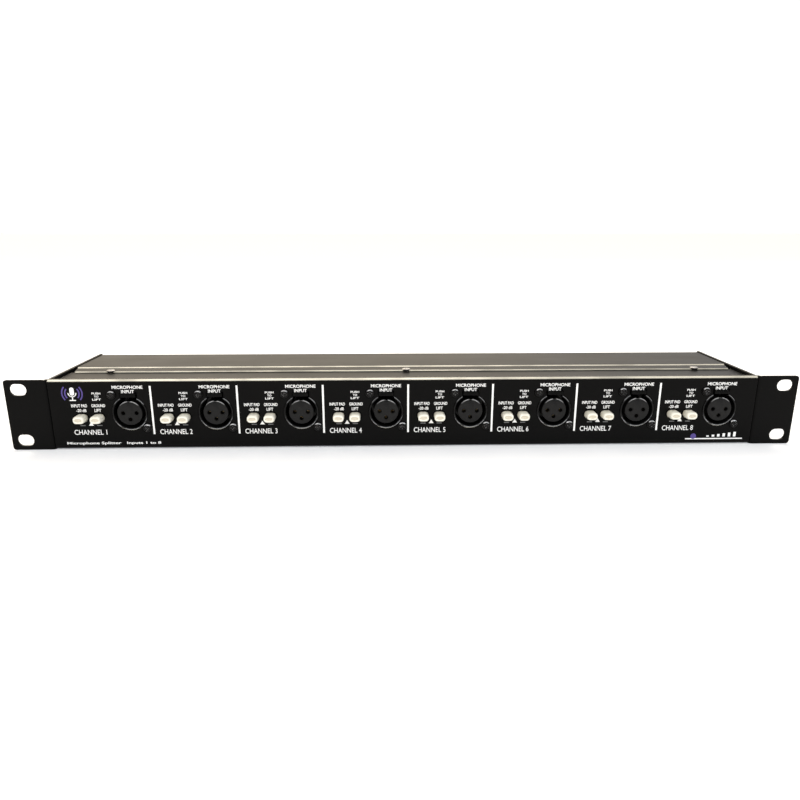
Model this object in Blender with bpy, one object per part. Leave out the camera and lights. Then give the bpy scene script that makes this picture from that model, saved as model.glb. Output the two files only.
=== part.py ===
"""Rack-mount eight-channel microphone unit, one rack unit high.

A folded front panel carries eight female three-pin sockets with push-to-release latches, and two push
buttons beside each. A folded rear panel carries a pair of male three-pin outputs for each channel. Side
plates bent outward into rack ears, a base tray and a screwed top cover close the case. A circuit board with
one isolating transformer for each channel sits inside.

Metres, +Z up. The front panel faces -Y. Every piece hangs from an empty on the panel's front face, and the
origin is the centre of the whole unit's footprint, on the surface it stands on.
"""

import math

import bmesh
import bpy
from mathutils import Matrix, Vector

MM = 0.001

# Case: sheet thicknesses, heights and depths, measured back from the panel's front face.
RACK_WIDTH = 482.6 * MM
EAR_HEIGHT = 43.7 * MM
EAR_CORNER = 1.6 * MM
PANEL_BOTTOM = 0.3 * MM
PANEL_TOP = 43.7 * MM
CASE_DEPTH = 83.0 * MM
SHEET = 1.2 * MM
SIDE_SHEET = 1.5 * MM
BEND = 1.8 * MM
SIDE_BEND = 2.0 * MM
GAP = 0.3 * MM
SIDE_INNER = 215.8 * MM
SIDE_TOP = 43.1 * MM
RIDGE_BACK = 3.0 * MM
FLANGE_FRONT = 6.5 * MM
FLANGE_TOP = 41.1 * MM
FLANGE_DEPTH = 37.5 * MM
FLANGE_MARGIN = 0.7 * MM
FOOT_FLANGE = 10.0 * MM
REAR_FACE = 81.7 * MM
REAR_TOP = 41.5 * MM
TRAY_SIDE_HEIGHT = 15.0 * MM

# Notches at the ends of the top flange, and the cover's lip between them.
NOTCH_WIDTH = 7.0 * MM
NOTCH_FRONT = 31.0 * MM
LIP_HALF_WIDTH = 211.9 * MM
LIP_FRONT = 29.5 * MM
LIP_CORNER_BACK = 40.7 * MM

# Top cover.
COVER_SHEET = 0.8 * MM
COVER_TOP = 42.6 * MM
COVER_HALF_WIDTH = 215.1 * MM
LIP_TOP = 42.1 * MM
STEP_FRONT = 39.3 * MM
STEP_BACK = 40.4 * MM
TONGUE_BOTTOM = 36.0 * MM

# Rack slots, on the standard one-unit hole spacing.
SLOT_X = 466.4 * MM / 2
SLOT_SPACING = 31.75 * MM
SLOT_LENGTH = 10.2 * MM
SLOT_HEIGHT = 7.3 * MM

# Channels.
CHANNELS = 8
PITCH = 51.75 * MM
SOCKET_OFFSET = 38.5 * MM
CONNECTOR_Z = 22.9 * MM
BUTTON_OFFSETS = {"pad": 9.5 * MM, "ground_lift": 19.5 * MM}
BUTTON_Z = 20.0 * MM
OUTPUT_PITCH = PITCH / 2

# Three-pin connectors.
NOSE_RADIUS = 10.4 * MM
NOSE_PROUD = 0.4 * MM
PANEL_HOLE_RADIUS = 10.7 * MM
SOCKET_BORE = 9.6 * MM
SOCKET_BORE_DEPTH = 16.0 * MM
INSERT_RADIUS = 7.45 * MM
INSERT_SET_BACK = -0.3 * MM
CONTACT_CIRCLE = 4.0 * MM
CONTACT_HOLE = 1.25 * MM
CONTACT_DEPTH = 12.0 * MM
HOUSING_HALF_WIDTH = 12.3 * MM
HOUSING_BELOW = 12.0 * MM
HOUSING_ABOVE = 13.4 * MM
SOCKET_LENGTH = 26.0 * MM
SOCKET_SCREWS = ((-9.8 * MM, 11.5 * MM), (9.9 * MM, -9.4 * MM))
OUTPUT_SCREWS = ((-10.0 * MM, 10.6 * MM), (10.0 * MM, -10.6 * MM))
OUTPUT_LENGTH = 20.0 * MM
CUP_RADIUS = 8.0 * MM
CUP_DEPTH = 13.9 * MM
PIN_RADIUS = 1.2 * MM
PIN_LENGTH = 12.4 * MM

# Latch of a female socket.
LATCH_HALF_WIDTH = 4.5 * MM
LATCH_BOTTOM = 10.0 * MM
LATCH_TOP = 12.4 * MM
LATCH_PROUD = 0.9 * MM
LATCH_LENGTH = 18.9 * MM
HOOK_BOTTOM = 8.1 * MM

# Small screws.
SCREW_SHANK = 1.3 * MM
SCREW_HEAD = 2.5 * MM
SCREW_HEAD_HEIGHT = 1.4 * MM
SCREW_HOLE = 1.8 * MM
COVER_SCREW_XS = {"left": -189.4 * MM, "centre": 0.0, "right": 189.4 * MM}
COVER_SCREW_Y = 30.2 * MM
COVER_SCREW_HEAD_HEIGHT = 0.8 * MM
COVER_SCREW_GAP = 0.15 * MM
REAR_SCREW_Z = 38.6 * MM

# Push buttons and their switches.
CAP_WIDTH = 6.6 * MM
CAP_HEIGHT = 4.6 * MM
CAP_CORNER = 2.0 * MM
CAP_PROUD = 6.0 * MM
CAP_BEHIND = 3.6 * MM
BUTTON_CLEARANCE = 0.4 * MM
STEM = 3.0 * MM
STEM_END = 17.0 * MM
SWITCH_FRONT = 8.0 * MM
SWITCH_BACK = 19.0 * MM
SWITCH_HALF = 4.3 * MM

# Inside.
BOARD_BOTTOM = 9.0 * MM
BOARD_TOP = 10.6 * MM
BOARD_HALF_WIDTH = 212.0 * MM
BOARD_FRONT = 4.0 * MM
BOARD_BACK = 78.5 * MM
STANDOFF_RADIUS = 3.0 * MM
STANDOFF_XS = (-203.0 * MM, -51.75 * MM, 51.75 * MM, 203.0 * MM)
STANDOFF_YS = (30.0 * MM, 57.0 * MM)
TRANSFORMER_Y = 43.0 * MM

# The datum's distance in front of the origin: half way between the button fronts and the rear screw heads.
DATUM_Y = -(CASE_DEPTH + COVER_SCREW_GAP + COVER_SCREW_HEAD_HEIGHT - CAP_PROUD) / 2


# --- Outlines: lists of points in the plane across an extrusion -------------------------------------------

def arc(centre, radius, start, end, steps):
    """Points along an arc, with its angles in degrees and both ends included."""
    angles = [math.radians(start + (end - start) * i / steps) for i in range(steps + 1)]
    return [(centre[0] + radius * math.cos(a), centre[1] + radius * math.sin(a)) for a in angles]


def circle(centre, radius, sides):
    return arc(centre, radius, 0, 360 * (sides - 1) / sides, sides - 1)


def rectangle(low, high):
    return [low, (high[0], low[1]), high, (low[0], high[1])]


def rounded_rectangle(centre, width, height, radius, steps):
    """A rectangle with an arc at each corner. A radius of half the height makes a slot."""
    dx = width / 2 - radius
    dy = height / 2 - radius
    points = []
    for quarter, (sx, sy) in enumerate(((1, 1), (-1, 1), (-1, -1), (1, -1))):
        corner = (centre[0] + sx * dx, centre[1] + sy * dy)
        points += arc(corner, radius, 90 * quarter, 90 * (quarter + 1), steps)
    return points


def keyhole(centre, radius, half_width, top, sides):
    """A circle that opens upward into a rectangular notch, for a socket and its latch."""
    start = math.degrees(math.acos(half_width / radius))
    round_part = arc(centre, radius, start, start - 180 - 2 * start, sides)
    notch = [(centre[0] - half_width, centre[1] + top), (centre[0] + half_width, centre[1] + top)]
    return round_part + notch


# --- Solids: closed meshes --------------------------------------------------------------------------------

AXIS_POINTS = {
    "X": lambda a, b, along: (along, a, b),
    "Y": lambda a, b, along: (a, along, b),
    "Z": lambda a, b, along: (a, b, along),
}


def mesh_from(bm, name):
    bmesh.ops.recalc_face_normals(bm, faces=bm.faces)
    mesh = bpy.data.meshes.new(name)
    bm.to_mesh(mesh)
    bm.free()
    return mesh


def prism(outline, axis, start, end):
    """The outline extruded along an axis."""
    bm = bmesh.new()
    corners = [bm.verts.new(AXIS_POINTS[axis](a, b, start)) for a, b in outline]
    cap = bm.faces.new(corners)
    pulled = bmesh.ops.extrude_face_region(bm, geom=[cap])
    far = [v for v in pulled["geom"] if isinstance(v, bmesh.types.BMVert)]
    bmesh.ops.translate(bm, verts=far, vec=Vector(AXIS_POINTS[axis](0, 0, end - start)))
    return mesh_from(bm, "prism")


def block(low, high):
    return prism(rectangle(low[:2], high[:2]), "Z", low[2], high[2])


def turned(profile, sides):
    """A profile of (distance along, radius) points, with both ends on the axis, spun about Y."""
    bm = bmesh.new()
    points = [bm.verts.new((radius, along, 0)) for along, radius in profile]
    edges = [bm.edges.new(pair) for pair in zip(points, points[1:])]
    bmesh.ops.spin(bm, geom=points + edges, cent=(0, 0, 0), axis=(0, 1, 0), steps=sides,
                   angle=2 * math.pi)
    bmesh.ops.remove_doubles(bm, verts=bm.verts, dist=0.001 * MM)
    return mesh_from(bm, "turned")


def moved(mesh, x=0.0, y=0.0, z=0.0):
    copy = mesh.copy()
    copy.transform(Matrix.Translation((x, y, z)))
    return copy


def together(meshes):
    """Separate closed meshes as one, to serve as a single tool."""
    bm = bmesh.new()
    for mesh in meshes:
        bm.from_mesh(mesh)
    result = bpy.data.meshes.new("tool")
    bm.to_mesh(result)
    bm.free()
    return result


def combine(base, tool, operation):
    """The Boolean of two closed meshes."""
    objects = [bpy.data.objects.new("work", mesh) for mesh in (base, tool)]
    for work in objects:
        bpy.context.scene.collection.objects.link(work)
    boolean = objects[0].modifiers.new("boolean", "BOOLEAN")
    boolean.operation = operation
    boolean.solver = "EXACT"
    boolean.use_self = True
    boolean.object = objects[1]
    bpy.context.view_layer.update()
    graph = bpy.context.evaluated_depsgraph_get()
    result = bpy.data.meshes.new_from_object(objects[0].evaluated_get(graph))
    for work in objects:
        bpy.data.objects.remove(work)
    return result


def cut(base, *tools):
    return combine(base, together(tools), "DIFFERENCE")


def fuse(base, *parts):
    """Each part has to run clearly into the base or a part before it."""
    for part in parts:
        base = combine(base, part, "UNION")
    return base


# --- Materials and nodes ----------------------------------------------------------------------------------

def material(name, colour, roughness, metallic=0.0):
    made = bpy.data.materials.new(name)
    made.use_nodes = True
    shader = made.node_tree.nodes["Principled BSDF"]
    shader.inputs["Base Color"].default_value = (*colour, 1.0)
    shader.inputs["Roughness"].default_value = roughness
    shader.inputs["Metallic"].default_value = metallic
    return made


def node(name, mesh, finish, datum, x=0.0, y=0.0, z=0.0):
    """One sub-part: an object of its own, placed from the datum on the panel's front face."""
    if not mesh.materials:
        mesh.materials.append(finish)
    made = bpy.data.objects.new(name, mesh)
    bpy.context.scene.collection.objects.link(made)
    made.parent = datum
    made.location = (x, y, z)
    return made


def smooth(mesh, angle=35):
    mesh.shade_smooth()
    mesh.set_sharp_from_angle(angle=math.radians(angle))
    return mesh


# --- Places -----------------------------------------------------------------------------------------------

def cell_left(channel):
    """The left edge of a channel's stretch of panel. Channels count from 1, from the left."""
    return (channel - 1 - CHANNELS / 2) * PITCH


def socket_x(channel):
    return cell_left(channel) + SOCKET_OFFSET


def pair_x(channel):
    return cell_left(channel) + PITCH / 2


def channels():
    return range(1, CHANNELS + 1)


# --- Case -------------------------------------------------------------------------------------------------

def front_panel_mesh():
    """A C-shaped fold: the face, a top flange that the cover screws to, and a short foot flange."""
    low = (BEND, PANEL_BOTTOM + BEND)
    high = (BEND, PANEL_TOP - BEND)
    profile = [(FLANGE_DEPTH, FLANGE_TOP - SHEET), (FLANGE_DEPTH, FLANGE_TOP), (FLANGE_FRONT, FLANGE_TOP),
               (RIDGE_BACK, PANEL_TOP)]
    profile += arc(high, BEND, 90, 180, 6)
    profile += arc(low, BEND, 180, 270, 4)
    profile += [(FOOT_FLANGE, PANEL_BOTTOM), (FOOT_FLANGE, PANEL_BOTTOM + SHEET)]
    profile += arc(low, BEND - SHEET, 270, 180, 2)
    profile += arc(high, BEND - SHEET, 180, 90, 2)
    profile += [(RIDGE_BACK - 0.5 * MM, PANEL_TOP - SHEET), (FLANGE_FRONT - 0.5 * MM, FLANGE_TOP - SHEET)]
    half = SIDE_INNER - GAP
    panel = prism(profile, "X", -half, half)
    tools = []
    for side in (-1, 1):
        edge = half - FLANGE_MARGIN
        notch = half - NOTCH_WIDTH
        outline = [(edge, BEND + 0.4 * MM), (edge, NOTCH_FRONT), (notch, NOTCH_FRONT), (notch, 40 * MM),
                   (half + 2 * MM, 40 * MM), (half + 2 * MM, BEND + 0.4 * MM)]
        outline = [(side * x, y) for x, y in outline]
        tools.append(prism(outline, "Z", FLANGE_TOP - 3 * MM, PANEL_TOP + 2 * MM))
    through = (-2 * MM, 4 * MM)
    for channel in channels():
        x = socket_x(channel)
        opening = keyhole((x, CONNECTOR_Z), PANEL_HOLE_RADIUS, LATCH_HALF_WIDTH + 0.7 * MM,
                          LATCH_TOP + 0.7 * MM, 20)
        tools.append(prism(opening, "Y", *through))
        for dx, dz in SOCKET_SCREWS:
            tools.append(prism(circle((x + dx, CONNECTOR_Z + dz), SCREW_HOLE, 8), "Y", *through))
        for offset in BUTTON_OFFSETS.values():
            centre = (cell_left(channel) + offset, BUTTON_Z)
            hole = rounded_rectangle(centre, CAP_WIDTH + 2 * BUTTON_CLEARANCE,
                                     CAP_HEIGHT + 2 * BUTTON_CLEARANCE, CAP_CORNER + BUTTON_CLEARANCE, 2)
            tools.append(prism(hole, "Y", *through))
    for x in COVER_SCREW_XS.values():
        hole = circle((x, COVER_SCREW_Y), SCREW_HOLE, 8)
        tools.append(prism(hole, "Z", FLANGE_TOP - 3 * MM, FLANGE_TOP + 3 * MM))
    return cut(panel, *tools)


def top_cover_mesh():
    """The lid: a lip on the front flange, open slots in its edge, a step up, and a tongue folded down."""
    lip_bottom = LIP_TOP - COVER_SHEET
    slant = 0.3 * MM
    back = (CASE_DEPTH - BEND, COVER_TOP - BEND)
    profile = [(LIP_FRONT, lip_bottom), (LIP_FRONT, LIP_TOP - 0.3 * MM), (LIP_FRONT + 0.3 * MM, LIP_TOP)]
    profile += [(STEP_FRONT, LIP_TOP), (STEP_BACK, COVER_TOP)]
    profile += arc(back, BEND, 90, 0, 4)
    profile += [(CASE_DEPTH, TONGUE_BOTTOM), (CASE_DEPTH - COVER_SHEET, TONGUE_BOTTOM)]
    profile += arc(back, BEND - COVER_SHEET, 0, 90, 2)
    profile += [(STEP_BACK + slant, COVER_TOP - COVER_SHEET), (STEP_FRONT + slant, lip_bottom)]
    cover = prism(profile, "X", -COVER_HALF_WIDTH, COVER_HALF_WIDTH)
    outside = COVER_HALF_WIDTH + 2 * MM
    tools = []
    for side in (-1, 1):
        corner = [(LIP_HALF_WIDTH, LIP_FRONT - 5 * MM), (LIP_HALF_WIDTH, LIP_FRONT),
                  (COVER_HALF_WIDTH - 0.4 * MM, LIP_CORNER_BACK), (outside, LIP_CORNER_BACK),
                  (outside, LIP_FRONT - 5 * MM)]
        corner = [(side * x, y) for x, y in corner]
        tools.append(prism(corner, "Z", LIP_TOP - 3 * MM, COVER_TOP + 3 * MM))
    for x in COVER_SCREW_XS.values():
        slot = arc((x, COVER_SCREW_Y), SCREW_HOLE, 0, 180, 6)
        slot += [(x - SCREW_HOLE, LIP_FRONT - 3 * MM), (x + SCREW_HOLE, LIP_FRONT - 3 * MM)]
        tools.append(prism(slot, "Z", LIP_TOP - 3 * MM, LIP_TOP + 3 * MM))
    for x in (COVER_SCREW_XS["left"], COVER_SCREW_XS["right"]):
        hole = circle((x, REAR_SCREW_Z), SCREW_HOLE, 8)
        tools.append(prism(hole, "Y", CASE_DEPTH - 3 * MM, CASE_DEPTH + 3 * MM))
    return cut(cover, *tools)


def rear_panel_mesh():
    """An L-shaped fold: the rear wall with the output holes, and a short foot flange."""
    inner = REAR_FACE - SHEET
    low = (REAR_FACE - BEND, PANEL_BOTTOM + BEND)
    profile = [(REAR_FACE, REAR_TOP)]
    profile += arc(low, BEND, 0, -90, 4)
    profile += [(REAR_FACE - FOOT_FLANGE, PANEL_BOTTOM), (REAR_FACE - FOOT_FLANGE, PANEL_BOTTOM + SHEET)]
    profile += arc(low, BEND - SHEET, -90, 0, 2)
    profile += [(inner, REAR_TOP)]
    half = SIDE_INNER - GAP
    panel = prism(profile, "X", -half, half)
    through = (inner - 3 * MM, REAR_FACE + 3 * MM)
    tools = []
    for channel in channels():
        for side in (-1, 1):
            x = pair_x(channel) + side * OUTPUT_PITCH / 2
            tools.append(prism(circle((x, CONNECTOR_Z), PANEL_HOLE_RADIUS, 20), "Y", *through))
            for dx, dz in OUTPUT_SCREWS:
                tools.append(prism(circle((x + dx, CONNECTOR_Z + dz), SCREW_HOLE, 6), "Y", *through))
    for x in (COVER_SCREW_XS["left"], COVER_SCREW_XS["right"]):
        tools.append(prism(circle((x, REAR_SCREW_Z), SCREW_HOLE, 8), "Y", *through))
    return cut(panel, *tools)


def base_tray_mesh():
    """The floor of the case, with upturned sides and pressed standoffs for the circuit board."""
    bottom = PANEL_BOTTOM + SHEET + GAP
    half = SIDE_INNER - GAP
    outline = [(-half, TRAY_SIDE_HEIGHT)]
    outline += arc((-half + BEND, bottom + BEND), BEND, 180, 270, 3)
    outline += arc((half - BEND, bottom + BEND), BEND, 270, 360, 3)
    outline += [(half, TRAY_SIDE_HEIGHT), (half - SHEET, TRAY_SIDE_HEIGHT)]
    outline += arc((half - BEND, bottom + BEND), BEND - SHEET, 360, 270, 2)
    outline += arc((-half + BEND, bottom + BEND), BEND - SHEET, 270, 180, 2)
    outline += [(-half + SHEET, TRAY_SIDE_HEIGHT)]
    tray = prism(outline, "Y", SHEET + GAP, REAR_FACE - SHEET - GAP)
    standoff = prism(circle((0, 0), STANDOFF_RADIUS, 10), "Z", bottom + SHEET / 2, BOARD_BOTTOM - GAP)
    return fuse(tray, *[moved(standoff, x, y) for x in STANDOFF_XS for y in STANDOFF_YS])


def side_plate_mesh(side):
    """A side wall that turns outward at the front into a rack ear with two slots. Side is -1 or 1."""
    inner = SIDE_INNER
    outer = SIDE_INNER + SIDE_SHEET
    centre = (inner + SIDE_BEND, SIDE_BEND)
    plan = [(inner, CASE_DEPTH)]
    plan += arc(centre, SIDE_BEND, 180, 270, 5)
    plan += [(RACK_WIDTH / 2, 0.0), (RACK_WIDTH / 2, SIDE_SHEET)]
    plan += arc(centre, SIDE_BEND - SIDE_SHEET, 270, 180, 2)
    plan += [(outer, CASE_DEPTH)]
    plate = prism([(side * x, y) for x, y in plan], "Z", 0.0, EAR_HEIGHT)
    behind = sorted((side * (inner - 5 * MM), side * (outer + 5 * MM)))
    tools = [block((behind[0], 2.6 * MM, SIDE_TOP), (behind[1], CASE_DEPTH + 5 * MM, EAR_HEIGHT + 5 * MM))]
    for up in (-1, 1):
        centre = (side * SLOT_X, EAR_HEIGHT / 2 + up * SLOT_SPACING / 2)
        slot = rounded_rectangle(centre, SLOT_LENGTH, SLOT_HEIGHT, SLOT_HEIGHT / 2, 4)
        tools.append(prism(slot, "Y", -2 * MM, 4 * MM))
        tools.append(prism(ear_corner(side, up), "Y", -2 * MM, 4 * MM))
    return cut(plate, *tools)


def ear_corner(side, up):
    """What is cut away outside the round of one of an ear's outer corners."""
    centre = (side * (RACK_WIDTH / 2 - EAR_CORNER), EAR_HEIGHT / 2 + up * (EAR_HEIGHT / 2 - EAR_CORNER))
    reach = 2 * EAR_CORNER
    quarter = [(centre[0] + side * x, centre[1] + up * z) for x, z in arc((0, 0), EAR_CORNER, 0, 90, 3)]
    beyond = [(0.0, reach), (reach, reach), (reach, 0.0)]
    return quarter + [(centre[0] + side * x, centre[1] + up * z) for x, z in beyond]


# --- Connectors -------------------------------------------------------------------------------------------

def contact_places():
    """Left, right and bottom, on the contact circle."""
    return ((-CONTACT_CIRCLE, 0.0), (CONTACT_CIRCLE, 0.0), (0.0, -CONTACT_CIRCLE))


def screw_profile(height, length):
    """Pan head and shank, head outward along -Y from the seat at 0."""
    return [(-height, 0.0), (-height, SCREW_HEAD * 0.7), (-height * 0.45, SCREW_HEAD),
            (0.0, SCREW_HEAD), (0.0, SCREW_SHANK), (length, SCREW_SHANK), (length, 0.0)]


def housing_block(front, back):
    return block((-HOUSING_HALF_WIDTH, front, -HOUSING_BELOW), (HOUSING_HALF_WIDTH, back, HOUSING_ABOVE))


def input_socket_mesh():
    """Female socket about its own axis: housing, nose, contact insert and its two panel screws."""
    seat = SHEET + GAP
    body = housing_block(seat, SOCKET_LENGTH)
    nose = prism(circle((0, 0), NOSE_RADIUS, 24), "Y", -NOSE_PROUD, seat + 1 * MM)
    body = fuse(body, nose)
    bore = prism(circle((0, 0), SOCKET_BORE, 24), "Y", -2 * MM, SOCKET_BORE_DEPTH)
    body = cut(body, bore)
    insert = prism(circle((0, 0), INSERT_RADIUS, 20), "Y", INSERT_SET_BACK, SOCKET_BORE_DEPTH + 1 * MM)
    body = fuse(body, insert)
    slot_half = LATCH_HALF_WIDTH + 0.4 * MM
    latch_slot = block((-slot_half, -2 * MM, 7.9 * MM), (slot_half, 22 * MM, LATCH_TOP + 0.4 * MM))
    contacts = [prism(circle(place, CONTACT_HOLE, 8), "Y", -2 * MM, CONTACT_DEPTH)
                for place in contact_places()]
    body = cut(body, latch_slot, *contacts)
    screw = turned(screw_profile(SCREW_HEAD_HEIGHT, 3.5 * MM), 8)
    screws = [moved(screw, dx, -GAP, dz) for dx, dz in SOCKET_SCREWS]
    return fuse(body, *screws)


def latch_mesh():
    """Push-to-release lever: a wide front pad, a thin arm behind it and the hook that holds a plug."""
    side = [(-LATCH_PROUD, LATCH_BOTTOM), (-LATCH_PROUD, LATCH_TOP - 0.6 * MM),
            (-LATCH_PROUD + 0.6 * MM, LATCH_TOP), (6 * MM, LATCH_TOP), (7 * MM, LATCH_TOP - 1 * MM),
            (LATCH_LENGTH - LATCH_PROUD, LATCH_TOP - 1 * MM), (LATCH_LENGTH - LATCH_PROUD, LATCH_BOTTOM)]
    arm = prism(side, "X", -LATCH_HALF_WIDTH, LATCH_HALF_WIDTH)
    hook = [(3.0 * MM, HOOK_BOTTOM + 0.7 * MM), (4.2 * MM, HOOK_BOTTOM), (5.2 * MM, HOOK_BOTTOM),
            (5.2 * MM, LATCH_BOTTOM + 0.6 * MM), (3.0 * MM, LATCH_BOTTOM + 0.6 * MM)]
    return fuse(arm, prism(hook, "X", -1.4 * MM, 1.4 * MM))


def output_pair_mesh():
    """Two male sockets of one channel, side by side, joined by a web, with pins and panel screws."""
    face = REAR_FACE - SHEET - GAP
    front = face - OUTPUT_LENGTH
    mouth = REAR_FACE + NOSE_PROUD
    pin = turned([(0.0, 0.0), (0.0, PIN_RADIUS), (PIN_LENGTH, PIN_RADIUS),
                  (PIN_LENGTH + 0.6 * MM, PIN_RADIUS * 0.5), (PIN_LENGTH + 0.6 * MM, 0.0)], 6)
    screw = turned(screw_profile(SCREW_HEAD_HEIGHT, 3.5 * MM), 8)
    screw.transform(Matrix.Rotation(math.pi, 4, "Z"))
    single = housing_block(front, face)
    single = fuse(single, prism(circle((0, 0), NOSE_RADIUS, 24), "Y", face - 1 * MM, mouth))
    cup_floor = mouth - CUP_DEPTH
    single = cut(single, prism(circle((0, 0), CUP_RADIUS, 24), "Y", cup_floor, mouth + 2 * MM))
    pins = [moved(pin, px, cup_floor - 1 * MM, pz) for px, pz in contact_places()]
    screws = [moved(screw, dx, REAR_FACE + GAP, dz) for dx, dz in OUTPUT_SCREWS]
    single = fuse(single, *pins, *screws)
    half = OUTPUT_PITCH / 2
    web = block((-2 * MM, front + 2 * MM, -8 * MM), (2 * MM, face - 6 * MM, 8 * MM))
    return fuse(moved(single, -half), web, moved(single, half))


# --- Buttons, board and transformers ----------------------------------------------------------------------

def button_mesh():
    """Push button about its own axis: a soft-edged oblong cap on a square stem."""
    bm = bmesh.new()
    rings = ((-CAP_PROUD, 1.1 * MM), (-CAP_PROUD + 0.3 * MM, 0.5 * MM), (-CAP_PROUD + 1.0 * MM, 0.0),
             (CAP_BEHIND, 0.0))
    loops = []
    for y, inset in rings:
        outline = rounded_rectangle((0, 0), CAP_WIDTH - 2 * inset, CAP_HEIGHT - 2 * inset,
                                    CAP_CORNER - inset, 3)
        loops.append([bm.verts.new((x, y, z)) for x, z in outline])
    for near, far in zip(loops, loops[1:]):
        for i in range(len(near)):
            j = (i + 1) % len(near)
            bm.faces.new((near[i], near[j], far[j], far[i]))
    bm.faces.new(loops[0])
    bm.faces.new(loops[-1])
    cap = mesh_from(bm, "cap")
    half = STEM / 2
    return fuse(cap, block((-half, CAP_BEHIND - 1 * MM, -half), (half, STEM_END, half)))


def circuit_board_mesh():
    """The board with the sixteen switch bodies that stand on it, each with a channel for its stem."""
    board = block((-BOARD_HALF_WIDTH, BOARD_FRONT, BOARD_BOTTOM), (BOARD_HALF_WIDTH, BOARD_BACK, BOARD_TOP))
    channel_half = STEM / 2 + GAP
    bodies = []
    channels_cut = []
    for channel in channels():
        for offset in BUTTON_OFFSETS.values():
            x = cell_left(channel) + offset
            bodies.append(block((x - SWITCH_HALF, SWITCH_FRONT, BOARD_TOP - 0.6 * MM),
                                (x + SWITCH_HALF, SWITCH_BACK, BUTTON_Z + 3.6 * MM)))
            channels_cut.append(block((x - channel_half, SWITCH_FRONT - 1 * MM, BUTTON_Z - channel_half),
                                      (x + channel_half, SWITCH_BACK + 1 * MM, BUTTON_Z + channel_half)))
    board = combine(board, together(bodies), "UNION")
    return cut(board, *channels_cut)


def transformer_mesh():
    """Isolating transformer: a laminated core with the winding standing out front and back."""
    bottom = BOARD_TOP + GAP
    core = block((-13 * MM, -8 * MM, bottom), (13 * MM, 8 * MM, bottom + 22 * MM))
    winding = prism(rounded_rectangle((0, bottom + 11 * MM), 17 * MM, 15 * MM, 3 * MM, 2), "Y",
                    -12 * MM, 12 * MM)
    return fuse(core, winding)


def cover_screw_mesh(length):
    """A screw whose head faces +Z."""
    screw = turned(screw_profile(COVER_SCREW_HEAD_HEIGHT, length), 12)
    screw.transform(Matrix.Rotation(-math.pi / 2, 4, "X"))
    return screw


# --- Assembly ---------------------------------------------------------------------------------------------

def clear_scene():
    for old in list(bpy.data.objects):
        bpy.data.objects.remove(old)


def build():
    clear_scene()
    datum = bpy.data.objects.new("front_face_datum", None)
    bpy.context.scene.collection.objects.link(datum)
    datum.location = (0.0, DATUM_Y, 0.0)

    black_paint = material("black_paint", (0.012, 0.012, 0.013), 0.42, 0.0)
    plated = material("plated_steel", (0.55, 0.55, 0.52), 0.35, 1.0)
    plastic = material("black_plastic", (0.016, 0.016, 0.017), 0.5)
    latch_plastic = material("latch_plastic", (0.008, 0.008, 0.008), 0.45)
    ivory = material("ivory_plastic", (0.80, 0.76, 0.62), 0.35)
    board = material("circuit_board", (0.02, 0.12, 0.05), 0.5)
    iron = material("laminated_iron", (0.16, 0.15, 0.14), 0.5, 0.8)
    black_steel = material("black_screw_steel", (0.02, 0.02, 0.02), 0.3, 0.6)

    node("front_panel", smooth(front_panel_mesh()), black_paint, datum)
    node("top_cover", smooth(top_cover_mesh()), black_paint, datum)
    node("rear_panel", smooth(rear_panel_mesh()), black_paint, datum)
    node("base_tray", smooth(base_tray_mesh()), plated, datum)
    node("side_plate_left", smooth(side_plate_mesh(-1)), black_paint, datum)
    node("side_plate_right", smooth(side_plate_mesh(1)), black_paint, datum)
    node("main_circuit_board", circuit_board_mesh(), board, datum)

    socket = smooth(input_socket_mesh())
    latch = latch_mesh()
    outputs = smooth(output_pair_mesh())
    button = smooth(button_mesh())
    transformer = smooth(transformer_mesh())
    for channel in channels():
        x = socket_x(channel)
        node(f"input_socket_{channel}", socket, plastic, datum, x, 0.0, CONNECTOR_Z)
        node(f"latch_{channel}", latch, latch_plastic, datum, x, 0.0, CONNECTOR_Z)
        for kind, offset in BUTTON_OFFSETS.items():
            node(f"{kind}_button_{channel}", button, ivory, datum,
                 cell_left(channel) + offset, 0.0, BUTTON_Z)
        node(f"output_pair_{channel}", outputs, plastic, datum, pair_x(channel), 0.0, CONNECTOR_Z)
        node(f"transformer_{channel}", transformer, iron, datum, pair_x(channel), TRANSFORMER_Y, 0.0)

    front_screw = smooth(cover_screw_mesh(5 * MM))
    for place, x in COVER_SCREW_XS.items():
        node(f"cover_screw_{place}", front_screw, black_steel, datum,
             x, COVER_SCREW_Y, LIP_TOP + COVER_SCREW_GAP)
    rear_screw = smooth(turned(screw_profile(COVER_SCREW_HEAD_HEIGHT, 5 * MM), 12))
    rear_screw.transform(Matrix.Rotation(math.pi, 4, "Z"))
    for place in ("left", "right"):
        node(f"rear_cover_screw_{place}", rear_screw, black_steel, datum,
             COVER_SCREW_XS[place], CASE_DEPTH + COVER_SCREW_GAP, REAR_SCREW_Z)


build()
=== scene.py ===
# %% [markdown]
# # An eight-channel microphone splitter, one rack unit high
#
# A passive box for a stage or studio rack. Each channel takes one microphone through a female
# three-pin socket in front, and passes it on through a transformer to a pair of male sockets at
# the rear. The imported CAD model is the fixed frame: every piece below takes its place from it and
# rides on one of its bodies, so the latches and buttons still travel.

# %% Load the frame
import math

import bmesh
import bpy
from mathutils import Matrix, Vector


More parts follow.
